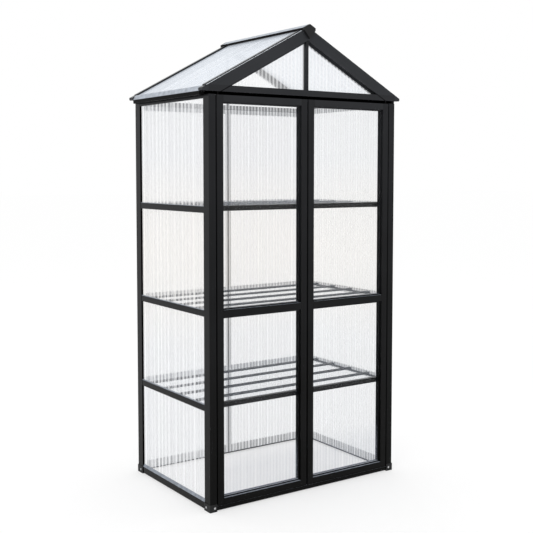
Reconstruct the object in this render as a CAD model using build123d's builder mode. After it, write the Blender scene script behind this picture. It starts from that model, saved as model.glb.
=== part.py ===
"""Mini greenhouse: a bar frame with clear twin-wall panes, three shelves, a gable roof and two doors.

Millimetres. +Z is up, the doors face -Y and the origin is on the ground under the middle.
"""
import os
from math import cos, radians, tan

from build123d import *

os.makedirs("parts", exist_ok=True)

# Frame, measured over the posts
width = 770.0
depth = 510.0
post_width = 25.0  # seen from the front
post_depth = 36.0  # seen from the side
edge_radius = 1.5

# Heights above the ground
levels = {"lower": 344.5, "middle": 649.5, "upper": 980.0}  # shelf surfaces
wall_top = 1339.0  # underside of the roof's frame
door_top = 1328.5

# Feet and their screws
foot_floor = 3.0
foot_wall = 1.5
foot_height = 25.0
front_screw_offset = 16.0  # from the outside corner of the post
side_screw_offset = 23.0
screw_radius = 1.75
screw_play = 0.1
screw_length = 8.0
screw_head_radius = 3.5
screw_head_height = 1.6

# Clear sheet and the grooves that hold it
sheet = 4.0
sheet_play = 0.2  # on each face of the sheet
bite = 6.0  # how far a sheet's edge enters a bar
end_play = 1.0

# Wall bars, with the wall panes flat against their inner faces
pane_inset = 7.0  # from the outside of the frame to the wall panes
rail_inset = 1.0  # the bars sit just behind the posts' outer faces
rail_height = 22.0
rail_bevel = 1.5
base_face = 22.0  # upright face of a base rail, below its sloping top
base_slope = 9.0
base_edge = 1.5  # flat top of a base rail, against the pane
base_toe = 3.0  # ledge that the wall panes stand on
toe_margin = 1.0
top_rail_height = 21.0
rear_bar_height = 33.0  # flat bar across the top of the rear wall
rear_mullion_width = 20.0
sill_height = 13.0
sill_depth = 28.0
sill_inset = 1.5

# Shelves
shelf_rail_height = 17.0
shelf_rail_depth = 15.0
shelf_sheet = 3.0
shelf_play = 0.5
slat_count = 4
slat_front_margin = 94.0  # from the shelf's front face to the middle of the first slat
slat_rear_margin = 66.0  # from the middle of the last slat to the rear wall
slat_width = 15.0
slat_height = 6.0
side_bar_width = 6.0  # bars on the side walls that the slats lie on
side_bar_height = 6.0

# Doors
door_gap = 1.2  # above and below each door
hinge_gap = 4.0  # between a door and its post
meeting_gap = 5.0
door_thickness = 24.0
door_back_gap = 3.0  # from a shut door to the shelves
stile_face = 24.0
end_rail_face = 21.5
middle_rail_face = 23.0
middle_rail_drop = 12.5  # middle of a door's middle rail below the middle shelf, whose edge it hides
bead = 4.5  # step round each door pane
bead_setback = 8.0
door_pane_inset = 14.0
pivot_inset = 8.0  # hinge line, from the door's outer edge and from its front
pin_radius = 3.0
pin_play = 0.05
pin_in_door = 12.0
pin_in_frame = 9.0
pin_end_play = 1.0
head_setback = 14.0  # dark recess over the doors and the front posts
head_side_setback = 5.0

# Roof
pitch = 28.2
eave_overhang = 23.0
tail_rise = 9.7  # top of the rafters' tails above the wall
beam_height = 20.0
beam_depth = 25.0
rafter_width = 39.0
rear_rafter_width = 27.0
tail_nose = 2.0
tail_chamfer = 4.0
gable_bead = 6.0  # step below the rafters that frames the gable panes
gable_bead_setback = 14.0
gable_inset = 17.0
gable_mullion_width = 10.0
gable_mullion_inset = 5.0
gable_mullion_bite = 2.5
clamp_setback = 10.0  # raised strip on each rafter that holds the roof sheet's edge
clamp_rise = 3.0
roof_flange = 3.0  # rafter and eave cover above the roof sheets
eave_setback = 3.0  # eave's outer face behind the rafters' tails
eave_cover = 12.0  # from the eave's outer face to its edge on the roof sheet
eave_seat = 19.0  # how far the eave reaches in over the wall
eave_bevel = 6.0  # width of the eave's steep upper face
eave_rise = 1.0  # foot of that face above the wall
eave_drop = 12.0  # how far the eave hangs down outside the wall
eave_wall_gap = 1.5
eave_nose_radius = 3.0
eave_bite = 4.0
ridge_web = 8.0
ridge_bar_width = 28.0
ridge_bar_height = 20.0
cap_width = 46.0
cap_rise = 4.5
cap_plate = 3.0
cap_lip = 2.5
end_plate = 10.0
end_plate_drop = 39.0  # bottom point of the ridge end plate below the rafters' top

# Places that follow from the sizes above
half_width = width / 2
half_depth = depth / 2
front = -half_depth
post_inner = half_width - post_width  # inner faces of the posts, left and right
post_back = half_depth - post_depth  # faces of the posts along a side wall
wall_run = depth - 2 * post_depth  # between posts along a side wall
rear_run = width - 2 * post_width
groove_width = sheet + 2 * sheet_play
groove_depth = bite + end_play
pane_middle = pane_inset + sheet / 2
wall_inner = pane_inset + sheet
bar_middle = (rail_inset + pane_inset) / 2
base_bottom = foot_floor
base_top = base_bottom + base_face + base_slope
top_rail_bottom = wall_top - top_rail_height
rear_bar_bottom = wall_top - rear_bar_height
rear_split = wall_top - rear_bar_height / 2  # wall panes end here and the rear gable's begin, behind the bar
pane_bottom = base_bottom + base_toe
pane_top = wall_top - end_play
sill_top = foot_floor + sill_height
door_bottom = sill_top + door_gap
head_bottom = door_top + door_gap  # foot of the recess
neck_width = post_width - head_side_setback  # front posts in the recess
neck_depth = post_depth - head_setback
shelf_front = front + door_thickness + door_back_gap
shelf_rear = half_depth - wall_inner
shelf_half_width = half_width - wall_inner
slat_bottom_drop = shelf_sheet + slat_height
slat_span = shelf_rear - shelf_front - slat_front_margin - slat_rear_margin  # first to last slat
beam_top = wall_top + beam_height
slope = tan(radians(pitch))
across = cos(radians(pitch))
sides = {"left": -1, "right": 1}
ends = {"front": -1, "rear": 1}

door_outer = post_inner - hinge_gap
door_meeting = meeting_gap / 2
door_middle = (door_outer + door_meeting) / 2
door_pane_y = front + door_pane_inset + sheet / 2
door_back = front + door_thickness
pivot_x = door_outer - pivot_inset
pivot_y = front + pivot_inset
open_outer = door_outer - stile_face - bead  # clear opening inside the beads
open_inner = door_meeting + stile_face + bead
middle_rail_high = levels["middle"] - middle_rail_drop + middle_rail_face / 2
middle_rail_low = middle_rail_high - middle_rail_face

gable_y = {"front": gable_inset + sheet / 2 - half_depth, "rear": half_depth - pane_middle}  # panes' middle
tail_x = half_width + eave_overhang
ridge_height = wall_top + tail_rise + slope * tail_x  # where the rafters' top edges meet
eave_x = tail_x - eave_setback
bead_edge = rafter_width + gable_bead  # from the rafters' top to the bead behind their lower edge
gable_edge = {"front": bead_edge, "rear": rear_rafter_width}  # from the rafters' top to the panes' groove
gable_low = {"front": beam_top, "rear": wall_top}  # foot of each gable
gable_half = gable_mullion_width / 2
seat_depth = roof_flange + groove_width  # from the rafters' top down to the sheets' seat
sheet_end = eave_x - eave_cover + eave_bite
sheet_start = ridge_web / 2 + end_play


def roof_line(x, below=0.0):
    """Height, at distance x from the ridge, of a line lying `below` under the rafters' top edge."""
    return ridge_height - slope * x - below / across


def roof_reach(height, below):
    """Distance from the ridge at which that line comes down to a height."""
    return (ridge_height - below / across - height) / slope


def save(piece, name):
    piece.part.label = name
    export_step(piece.part, f"parts/{name}.step")


def screw_seats(side, end, proud=0.0):
    """Planes on the two outside faces of a corner, facing outward."""
    height = foot_height / 2
    front_x = side * (half_width - front_screw_offset)
    side_y = end * (half_depth - side_screw_offset)
    on_front = Plane(origin=(front_x, end * (half_depth + proud), height), z_dir=(0, end, 0))
    on_side = Plane(origin=(side * (half_width + proud), side_y, height), z_dir=(side, 0, 0))
    return on_front, on_side


# Posts and feet: the front posts have a recessed neck, the rear ones are angles round the panes
def make_post(side, end):
    post_x = side * (half_width - post_width / 2)
    post_y = end * (half_depth - post_depth / 2)
    with BuildPart() as post:
        with BuildSketch(Plane.XY.offset(foot_floor)) as section:
            with Locations((post_x, post_y)):
                Rectangle(post_width, post_depth)
            fillet(section.vertices(), edge_radius)
            if end == ends["front"]:
                with Locations((side * (half_width - pane_middle), -post_back - groove_depth / 2)):
                    Rectangle(groove_width, groove_depth, mode=Mode.SUBTRACT)
            else:
                corner_x = (post_inner + half_width - pane_inset) / 2
                corner_y = (post_back + half_depth - pane_inset) / 2
                with Locations((side * corner_x, corner_y)):
                    Rectangle(post_width - pane_inset, post_depth - pane_inset, mode=Mode.SUBTRACT)
        extrude(amount=wall_top - foot_floor)
        if end == ends["front"]:
            with BuildSketch(Plane.XY.offset(head_bottom)) as recess:
                with Locations((post_x, post_y)):
                    Rectangle(post_width, post_depth)
                with Locations((side * (post_inner + neck_width / 2), -post_back - neck_depth / 2)):
                    Rectangle(neck_width, neck_depth, mode=Mode.SUBTRACT)
            extrude(amount=wall_top - head_bottom, mode=Mode.SUBTRACT)
        with Locations(*screw_seats(side, end)):
            Hole(screw_radius + screw_play, depth=screw_length)
    return post


def make_feet():
    with BuildPart() as feet:
        for side in sides.values():
            for end in ends.values():
                corner = (side * (half_width - post_width / 2), end * (half_depth - post_depth / 2))
                cup = (corner[0] + side * foot_wall / 2, corner[1] + end * foot_wall / 2)
                with BuildSketch() as outline:
                    with Locations(cup):
                        Rectangle(post_width + foot_wall, post_depth + foot_wall)
                extrude(amount=foot_height)
                with BuildSketch(Plane.XY.offset(foot_floor)) as pocket:
                    with Locations(corner):
                        Rectangle(post_width, post_depth)
                extrude(amount=foot_height, mode=Mode.SUBTRACT)
                with Locations(*screw_seats(side, end, foot_wall)):
                    Hole(screw_radius + screw_play, depth=foot_wall)
    return feet


def make_foot_screws():
    with BuildPart() as screws:
        for side in sides.values():
            for end in ends.values():
                for seat in screw_seats(side, end, foot_wall):
                    with BuildSketch(seat) as head:
                        Circle(screw_head_radius)
                    extrude(amount=screw_head_height)
                    with BuildSketch(seat) as shank:
                        Circle(screw_radius)
                    extrude(amount=-screw_length)
    return screws


for side_name, side in sides.items():
    for end_name, end in ends.items():
        save(make_post(side, end), f"{end_name}_{side_name}_post")
save(make_feet(), "corner_feet")
save(make_foot_screws(), "foot_screws")


# Wall bars: each section is a list of (inset from the outer face, height)
base_section = (
    (rail_inset, base_bottom),
    (rail_inset, base_bottom + base_face),
    (pane_inset - base_edge, base_top),
    (pane_inset, base_top),
    (pane_inset, pane_bottom),
    (wall_inner + toe_margin, pane_bottom),
    (wall_inner + toe_margin, base_bottom),
)
top_section = (
    (rail_inset, wall_top),
    (rail_inset, top_rail_bottom),
    (pane_inset, top_rail_bottom),
    (pane_inset, wall_top),
)


def rail_section(level):
    low = level - rail_height
    return (
        (rail_inset, low),
        (rail_inset, level - rail_bevel),
        (rail_inset + rail_bevel, level),
        (pane_inset, level),
        (pane_inset, low),
    )


def make_side_bar(section, side):
    with BuildPart() as bar:
        with BuildSketch(Plane.XZ) as profile:
            with BuildLine() as outline:
                Polyline(*[(side * (half_width - inset), z) for inset, z in section], close=True)
            make_face()
        extrude(amount=wall_run / 2, both=True)
    return bar


def make_rear_base_rail():
    with BuildPart() as bar:
        with BuildSketch(Plane.YZ) as profile:
            with BuildLine() as outline:
                Polyline(*[(half_depth - inset, z) for inset, z in base_section], close=True)
            make_face()
        extrude(amount=rear_run / 2, both=True)
    return bar


def make_rear_rails():
    near = rear_mullion_width / 2
    with BuildPart() as rails:
        for level in levels.values():
            for side in sides.values():
                with BuildSketch(Plane.YZ.offset(side * (near + post_inner) / 2)) as profile:
                    with BuildLine() as outline:
                        Polyline(*[(half_depth - inset, z) for inset, z in rail_section(level)], close=True)
                    make_face()
                extrude(amount=(post_inner - near) / 2, both=True)
    return rails


def make_rear_mullion():
    with BuildPart() as mullion:
        with BuildSketch(Plane.XY.offset(base_top)) as section:
            with Locations((0, half_depth - bar_middle)):
                Rectangle(rear_mullion_width, pane_inset - rail_inset)
        extrude(amount=rear_bar_bottom - base_top)
    return mullion


def make_front_sill():
    with BuildPart() as sill:
        with BuildSketch(Plane.XY.offset(foot_floor)) as outline:
            with Locations((0, front + sill_inset + sill_depth / 2)):
                Rectangle(rear_run, sill_depth)
        extrude(amount=sill_height)
        with Locations(*[(side * pivot_x, pivot_y, sill_top) for side in sides.values()]):
            Hole(pin_radius + pin_play, depth=pin_in_frame + pin_end_play)
    return sill


for side_name, side in sides.items():
    save(make_side_bar(base_section, side), f"{side_name}_base_rail")
    save(make_side_bar(top_section, side), f"{side_name}_top_rail")
    for level_name, level in levels.items():
        save(make_side_bar(rail_section(level), side), f"{side_name}_rail_{level_name}")
save(make_rear_base_rail(), "rear_base_rail")
save(make_rear_rails(), "rear_rails")
save(make_rear_mullion(), "rear_mullion")
save(make_front_sill(), "front_sill")


# Wall panes: one tall sheet on each side, two behind the rear mullion
def make_side_pane(side):
    pane_front = -post_back - bite
    pane_rear = half_depth - wall_inner - sheet_play
    with BuildPart() as pane:
        with BuildSketch(Plane.YZ.offset(side * (half_width - pane_middle))) as face:
            with Locations(((pane_front + pane_rear) / 2, (pane_bottom + pane_top) / 2)):
                Rectangle(pane_rear - pane_front, pane_top - pane_bottom)
        extrude(amount=sheet / 2, both=True)
    return pane


def make_rear_panes():
    inner = end_play / 2
    outer = half_width - pane_inset - sheet_play
    high = rear_split - end_play / 2
    with BuildPart() as panes:
        with BuildSketch(Plane.XZ.offset(pane_middle - half_depth)) as faces:
            for side in sides.values():
                with Locations((side * (inner + outer) / 2, (pane_bottom + high) / 2)):
                    Rectangle(outer - inner, high - pane_bottom)
        extrude(amount=sheet / 2, both=True)
    return panes


for side_name, side in sides.items():
    save(make_side_pane(side), f"{side_name}_wall_pane")
save(make_rear_panes(), "rear_wall_panes")


# Shelves: a front rail between the posts, slats lying on bars at the side walls, a sheet on top
def make_shelf_rail(level):
    with BuildPart() as rail:
        with BuildSketch(Plane.YZ) as section:
            with Locations((shelf_front + shelf_rail_depth / 2, level - shelf_rail_height / 2)):
                Rectangle(shelf_rail_depth, shelf_rail_height)
        extrude(amount=rear_run / 2, both=True)
    return rail


def make_shelf_side_bars():
    with BuildPart() as bars:
        for level in levels.values():
            bar_z = level - slat_bottom_drop - side_bar_height / 2
            with BuildSketch(Plane.XZ.offset((post_back - shelf_rear) / 2)) as sections:
                for side in sides.values():
                    with Locations((side * (shelf_half_width - side_bar_width / 2), bar_z)):
                        Rectangle(side_bar_width, side_bar_height)
            extrude(amount=(post_back + shelf_rear) / 2, both=True)
    return bars


def make_slats(level):
    with BuildPart() as slats:
        with BuildSketch(Plane.YZ) as sections:
            for slat in range(slat_count):
                slat_y = shelf_front + slat_front_margin + slat * slat_span / (slat_count - 1)
                with Locations((slat_y, level - slat_bottom_drop + slat_height / 2)):
                    Rectangle(slat_width, slat_height)
        extrude(amount=shelf_half_width - shelf_play, both=True)
    return slats


def make_shelf_sheets():
    near = shelf_front + shelf_rail_depth + shelf_play
    far = shelf_rear - shelf_play
    with BuildPart() as sheets:
        for level in levels.values():
            with BuildSketch(Plane.XY.offset(level - shelf_sheet)) as outline:
                with Locations((0, (near + far) / 2)):
                    Rectangle(2 * (shelf_half_width - shelf_play), far - near)
            extrude(amount=shelf_sheet)
    return sheets


for level_name, level in levels.items():
    save(make_shelf_rail(level), f"shelf_front_rail_{level_name}")
    save(make_slats(level), f"shelf_slats_{level_name}")
save(make_shelf_side_bars(), "shelf_side_bars")
save(make_shelf_sheets(), "shelf_sheets")


# Gables
pane_reach = roof_reach(beam_top - bite, bead_edge - bite)
groove_start = sheet_start - end_play
groove_end = sheet_end + end_play
sheet_groove_points = (
    (groove_start, roof_line(groove_start, roof_flange)),
    (groove_end, roof_line(groove_end, roof_flange)),
    (groove_end, roof_line(groove_end, seat_depth)),
    (groove_start, roof_line(groove_start, seat_depth)),
)


def sheet_groove_y(end):
    """Middle of the groove that holds the roof sheets' edges, in the inner face of a gable."""
    return end * (half_depth - beam_depth + groove_depth / 2)


def make_front_tie_beam():
    head_depth = beam_depth - head_setback
    with BuildPart() as beam:
        with BuildSketch(Plane.XY.offset(wall_top)) as outline:
            with Locations((0, front + beam_depth / 2)):
                Rectangle(width, beam_depth)
        extrude(amount=beam_height)
        with BuildSketch(Plane.XY.offset(beam_top)) as gable_groove:
            with Locations((0, gable_y["front"])):
                Rectangle(2 * (pane_reach + end_play), groove_width)
        extrude(amount=-groove_depth, mode=Mode.SUBTRACT)
        for side in sides.values():
            with BuildSketch(Plane.XZ.offset(-sheet_groove_y(ends["front"]))) as sheet_groove:
                with BuildLine() as edge:
                    Polyline(*[(side * x, z) for x, z in sheet_groove_points], close=True)
                make_face()
            extrude(amount=groove_depth / 2, both=True, mode=Mode.SUBTRACT)
        with BuildSketch(Plane.XY.offset(head_bottom)) as head:
            with Locations((0, front + head_setback + head_depth / 2)):
                Rectangle(rear_run, head_depth)
        extrude(amount=wall_top - head_bottom)
        for side in sides.values():
            with Locations(Plane(origin=(side * pivot_x, pivot_y, wall_top), z_dir=(0, 0, -1))):
                Hole(pin_radius + pin_play, depth=pin_in_frame + pin_end_play)
    return beam


def make_rear_tie_beam():
    with BuildPart() as beam:
        with BuildSketch(Plane.XY.offset(rear_bar_bottom)) as section:
            with Locations((0, half_depth - bar_middle)):
                Rectangle(rear_run, pane_inset - rail_inset)
        extrude(amount=rear_bar_height)
    return beam


def make_rafter(side, end_name):
    end = ends[end_name]
    foot = gable_low[end_name]
    hold = gable_edge[end_name] - groove_depth
    clamp_start = cap_width / 2 + end_play
    clamp_end = eave_x - eave_cover
    clamp_depth = beam_depth - clamp_setback
    clamp_points = (
        (clamp_start, roof_line(clamp_start)),
        (clamp_end, roof_line(clamp_end)),
        (clamp_end, roof_line(clamp_end, -clamp_rise)),
        (clamp_start, roof_line(clamp_start, -clamp_rise)),
    )
    gable_groove_points = ((0, foot), (0, roof_line(0, hold)), (roof_reach(foot, hold), foot))
    heel = [(half_width, height) for height in sorted({wall_top, foot})]
    layers = {
        "front": ((0, gable_bead_setback, rafter_width), (gable_bead_setback, beam_depth, bead_edge)),
        "rear": ((0, beam_depth, rear_rafter_width),),
    }
    with BuildPart() as rafter:
        for near, far, edge_depth in layers[end_name]:
            layer_y = end * (half_depth - (near + far) / 2)
            layer_points = (
                (0, roof_line(0)),
                (tail_x, roof_line(tail_x)),
                (tail_x, wall_top + tail_nose),
                (tail_x - tail_chamfer, wall_top),
                *heel,
                (roof_reach(foot, edge_depth), foot),
                (0, roof_line(0, edge_depth)),
            )
            with BuildSketch(Plane.XZ.offset(-layer_y)) as layer:
                with BuildLine() as edge:
                    Polyline(*[(side * x, z) for x, z in layer_points], close=True)
                make_face()
            extrude(amount=(far - near) / 2, both=True)
        clamp_y = end * (half_depth - clamp_setback - clamp_depth / 2)
        with BuildSketch(Plane.XZ.offset(-clamp_y)) as clamp:
            with BuildLine() as edge:
                Polyline(*[(side * x, z) for x, z in clamp_points], close=True)
            make_face()
        extrude(amount=clamp_depth / 2, both=True)
        with BuildSketch(Plane.XZ.offset(-sheet_groove_y(end))) as sheet_groove:
            with BuildLine() as edge:
                Polyline(*[(side * x, z) for x, z in sheet_groove_points], close=True)
            make_face()
        extrude(amount=groove_depth / 2, both=True, mode=Mode.SUBTRACT)
        with BuildSketch(Plane.XZ.offset(-gable_y[end_name])) as gable_groove:
            with BuildLine() as edge:
                Polyline(*[(side * x, z) for x, z in gable_groove_points], close=True)
            make_face()
        extrude(amount=groove_width / 2, both=True, mode=Mode.SUBTRACT)
    return rafter


def make_gable_mullions():
    groove = gable_mullion_bite + end_play
    layers = (
        (-half_depth + gable_mullion_inset, -half_depth + gable_bead_setback, beam_top, rafter_width),
        (-half_depth + gable_bead_setback, -half_depth + beam_depth, beam_top, bead_edge),
        (half_depth - pane_inset, half_depth - rail_inset, wall_top, rear_rafter_width),
    )
    with BuildPart() as mullions:
        for near, far, foot, edge_depth in layers:
            with BuildSketch(Plane.XZ.offset(-(near + far) / 2)) as face:
                with BuildLine() as edge:
                    Polyline(
                        (-gable_half, foot),
                        (gable_half, foot),
                        (gable_half, roof_line(gable_half, edge_depth)),
                        (0, roof_line(0, edge_depth)),
                        (-gable_half, roof_line(gable_half, edge_depth)),
                        close=True,
                    )
                make_face()
            extrude(amount=(far - near) / 2, both=True)
        with BuildSketch(Plane.XZ.offset(-gable_y["front"])) as grooves:
            for side in sides.values():
                with Locations((side * (gable_half - groove / 2), (beam_top + roof_line(0, bead_edge)) / 2)):
                    Rectangle(groove, roof_line(0, bead_edge) - beam_top)
        extrude(amount=groove_width / 2, both=True, mode=Mode.SUBTRACT)
    return mullions


def make_gable_panes():
    """Triangles in the front gable; in the rear one they run down behind the tie beam to the wall panes."""
    rear_hold = rear_rafter_width - bite
    rear_reach = half_width - pane_inset - sheet_play
    rear_near = end_play / 2
    front_near = gable_half - gable_mullion_bite
    outlines = {
        "front": (
            (front_near, beam_top - bite),
            (pane_reach, beam_top - bite),
            (front_near, roof_line(front_near, bead_edge - bite)),
        ),
        "rear": (
            (rear_near, rear_split + end_play / 2),
            (rear_reach, rear_split + end_play / 2),
            (rear_reach, roof_line(rear_reach, rear_hold)),
            (rear_near, roof_line(rear_near, rear_hold)),
        ),
    }
    with BuildPart() as panes:
        for end_name, outline in outlines.items():
            with BuildSketch(Plane.XZ.offset(-gable_y[end_name])) as faces:
                for side in sides.values():
                    with BuildLine() as edge:
                        Polyline(*[(side * x, z) for x, z in outline], close=True)
                    make_face()
            extrude(amount=sheet / 2, both=True)
    return panes


save(make_front_tie_beam(), "front_tie_beam")
save(make_rear_tie_beam(), "rear_tie_beam")
for end_name in ends:
    for side_name, side in sides.items():
        save(make_rafter(side, end_name), f"{end_name}_{side_name}_rafter")
save(make_gable_mullions(), "gable_mullions")
save(make_gable_panes(), "gable_panes")


# Roof
rafter_run = depth - 2 * beam_depth  # between the front and rear rafters


def make_ridge_beam():
    web = ridge_web / 2
    bar = ridge_bar_width / 2
    half = (
        (0, roof_line(0, -cap_rise)),
        (web, roof_line(web, -cap_rise)),
        (web, roof_line(web, seat_depth)),
        (bar, roof_line(bar, seat_depth)),
        (bar, roof_line(bar, seat_depth) - ridge_bar_height),
    )
    with BuildPart() as beam:
        with BuildSketch(Plane.XZ) as section:
            with BuildLine() as edge:
                Polyline(*half, *[(-x, z) for x, z in reversed(half[1:])], close=True)
            make_face()
        extrude(amount=rafter_run / 2, both=True)
    return beam


def make_ridge_cap():
    edge_x = cap_width / 2
    lip_x = edge_x - cap_lip
    top = cap_rise + cap_plate
    outer = (
        (0, roof_line(0, -top)),
        (edge_x, roof_line(edge_x, -top)),
        (edge_x, roof_line(edge_x)),
        (lip_x, roof_line(lip_x)),
        (lip_x, roof_line(lip_x, -cap_rise)),
        (0, roof_line(0, -cap_rise)),
    )
    with BuildPart() as cap:
        with BuildSketch(Plane.XZ) as section:
            with BuildLine() as edge:
                Polyline(*outer, *[(-x, z) for x, z in reversed(outer[1:-1])], close=True)
            make_face()
        extrude(amount=depth / 2, both=True)
    return cap


def make_ridge_end_plates():
    edge_x = cap_width / 2
    top = cap_rise + cap_plate
    half = (
        (0, roof_line(0, -top)),
        (edge_x, roof_line(edge_x, -top)),
        (edge_x, roof_line(edge_x)),
        (0, ridge_height - end_plate_drop),
    )
    with BuildPart() as plates:
        for end in ends.values():
            with BuildSketch(Plane.XZ.offset(-end * (half_depth + end_plate / 2))) as face:
                with BuildLine() as edge:
                    Polyline(*half, *[(-x, z) for x, z in reversed(half[1:-1])], close=True)
                make_face()
            extrude(amount=end_plate / 2, both=True)
    return plates


def make_eave(side):
    inner = half_width - eave_seat
    cover = eave_x - eave_cover
    bevel_x = eave_x - eave_bevel
    lip_x = half_width + eave_wall_gap
    section_points = (
        (inner, wall_top),
        (lip_x, wall_top),
        (lip_x, wall_top - eave_drop),
        (eave_x, wall_top - eave_drop),
        (eave_x, wall_top + eave_rise),
        (bevel_x, roof_line(bevel_x)),
        (cover, roof_line(cover)),
        (cover, roof_line(cover, roof_flange)),
        (groove_end, roof_line(groove_end, roof_flange)),
        (groove_end, roof_line(groove_end, seat_depth)),
        (inner, roof_line(inner, seat_depth)),
    )
    with BuildPart() as eave:
        with BuildSketch(Plane.XZ) as section:
            with BuildLine() as edge:
                Polyline(*[(side * x, z) for x, z in section_points], close=True)
            make_face()
            nose = section.vertices().group_by(Axis.X)[-1 if side > 0 else 0]
            fillet(nose, eave_nose_radius)
        extrude(amount=rafter_run / 2, both=True)
    return eave


def make_roof_sheet(side):
    upper = roof_flange + sheet_play
    lower = upper + sheet
    outline_points = (
        (sheet_start, roof_line(sheet_start, upper)),
        (sheet_end, roof_line(sheet_end, upper)),
        (sheet_end, roof_line(sheet_end, lower)),
        (sheet_start, roof_line(sheet_start, lower)),
    )
    with BuildPart() as roof_sheet:
        with BuildSketch(Plane.XZ) as section:
            with BuildLine() as edge:
                Polyline(*[(side * x, z) for x, z in outline_points], close=True)
            make_face()
        extrude(amount=rafter_run / 2 + bite, both=True)
    return roof_sheet


save(make_ridge_beam(), "ridge_beam")
save(make_ridge_cap(), "ridge_cap")
save(make_ridge_end_plates(), "ridge_end_plates")
for side_name, side in sides.items():
    save(make_eave(side), f"{side_name}_eave")
    save(make_roof_sheet(side), f"{side_name}_roof_sheet")


# Doors: stiles full height, rails between them, panes in grooves behind a stepped bead
def make_stile(side, edge_x, toward, pivots):
    face_x = edge_x + toward * stile_face
    bead_x = face_x + toward * bead
    groove_x = bead_x - toward * groove_depth
    groove_front = door_pane_y - groove_width / 2
    groove_back = door_pane_y + groove_width / 2
    section_points = (
        (edge_x, front),
        (face_x, front),
        (face_x, front + bead_setback),
        (bead_x, front + bead_setback),
        (bead_x, groove_front),
        (groove_x, groove_front),
        (groove_x, groove_back),
        (bead_x, groove_back),
        (bead_x, door_back),
        (edge_x, door_back),
    )
    with BuildPart() as stile:
        with BuildSketch(Plane.XY.offset(door_bottom)) as section:
            with BuildLine() as outline:
                Polyline(*[(side * x, y) for x, y in section_points], close=True)
            make_face()
            fillet(section.vertices().group_by(Axis.Y)[0], edge_radius)
        extrude(amount=door_top - door_bottom)
        if pivots:
            with Locations((side * pivot_x, pivot_y, door_top)):
                Hole(pin_radius, depth=pin_in_door)
            with Locations(Plane(origin=(side * pivot_x, pivot_y, door_bottom), z_dir=(0, 0, -1))):
                Hole(pin_radius, depth=pin_in_door)
    return stile


def make_door_rail(side, low, high, bead_below, bead_above):
    back_low = low - bead_below
    back_high = high + bead_above
    back_depth = door_thickness - bead_setback
    between_stiles = door_outer - door_meeting - 2 * stile_face
    plane = Plane.YZ.offset(side * door_middle)
    with BuildPart() as rail:
        with BuildSketch(plane) as face:
            with Locations((front + bead_setback / 2, (low + high) / 2)):
                Rectangle(bead_setback, high - low)
        extrude(amount=between_stiles / 2, both=True)
        with BuildSketch(plane) as back:
            with Locations((door_back - back_depth / 2, (back_low + back_high) / 2)):
                Rectangle(back_depth, back_high - back_low)
            if bead_below:
                with Locations((door_pane_y, back_low + groove_depth / 2)):
                    Rectangle(groove_width, groove_depth, mode=Mode.SUBTRACT)
            if bead_above:
                with Locations((door_pane_y, back_high - groove_depth / 2)):
                    Rectangle(groove_width, groove_depth, mode=Mode.SUBTRACT)
        extrude(amount=between_stiles / 2 - bead, both=True)
    return rail


def make_door_panes(side):
    lows = (door_bottom + end_rail_face + bead, middle_rail_high + bead)
    highs = (middle_rail_low - bead, door_top - end_rail_face - bead)
    with BuildPart() as panes:
        with BuildSketch(Plane.XZ.offset(-door_pane_y)) as faces:
            for low, high in zip(lows, highs):
                with Locations((side * (open_inner + open_outer) / 2, (low + high) / 2)):
                    Rectangle(open_outer - open_inner + 2 * bite, high - low + 2 * bite)
        extrude(amount=sheet / 2, both=True)
    return panes


def make_pivot_pins(side):
    lower_end = sill_top - pin_in_frame
    upper_end = wall_top + pin_in_frame
    with BuildPart() as pins:
        with BuildSketch(Plane.XY.offset(lower_end)) as lower:
            with Locations((side * pivot_x, pivot_y)):
                Circle(pin_radius)
        extrude(amount=door_bottom + pin_in_door - lower_end)
        with BuildSketch(Plane.XY.offset(door_top - pin_in_door)) as upper:
            with Locations((side * pivot_x, pivot_y)):
                Circle(pin_radius)
        extrude(amount=upper_end - door_top + pin_in_door)
    return pins


for side_name, side in sides.items():
    door = f"{side_name}_door"
    top_low = door_top - end_rail_face
    bottom_high = door_bottom + end_rail_face
    save(make_stile(side, door_outer, -1, True), f"{door}_hinge_stile")
    save(make_stile(side, door_meeting, 1, False), f"{door}_meeting_stile")
    save(make_door_rail(side, top_low, door_top, bead, 0), f"{door}_top_rail")
    save(make_door_rail(side, middle_rail_low, middle_rail_high, bead, bead), f"{door}_middle_rail")
    save(make_door_rail(side, door_bottom, bottom_high, 0, bead), f"{door}_bottom_rail")
    save(make_door_panes(side), f"{door}_panes")
    save(make_pivot_pins(side), f"{door}_pivot_pins")
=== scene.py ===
import math
import bpy
import numpy as np
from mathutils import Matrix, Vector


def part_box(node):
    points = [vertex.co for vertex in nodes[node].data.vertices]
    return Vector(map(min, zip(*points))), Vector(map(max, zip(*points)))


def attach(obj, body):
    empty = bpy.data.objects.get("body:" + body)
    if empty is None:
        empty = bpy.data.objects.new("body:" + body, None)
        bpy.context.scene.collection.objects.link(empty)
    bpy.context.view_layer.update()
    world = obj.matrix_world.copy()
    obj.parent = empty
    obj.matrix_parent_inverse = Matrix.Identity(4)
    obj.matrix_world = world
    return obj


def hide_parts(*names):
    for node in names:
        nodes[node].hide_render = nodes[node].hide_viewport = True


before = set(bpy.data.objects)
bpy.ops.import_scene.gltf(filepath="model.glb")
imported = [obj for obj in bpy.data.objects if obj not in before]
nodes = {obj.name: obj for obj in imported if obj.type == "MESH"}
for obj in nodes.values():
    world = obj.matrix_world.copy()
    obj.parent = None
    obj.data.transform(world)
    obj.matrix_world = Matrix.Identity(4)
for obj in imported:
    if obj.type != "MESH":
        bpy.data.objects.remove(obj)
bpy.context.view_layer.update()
scene = bpy.context.scene
print("frame loaded:", len(nodes), "nodes")


# shader wiring

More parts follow.
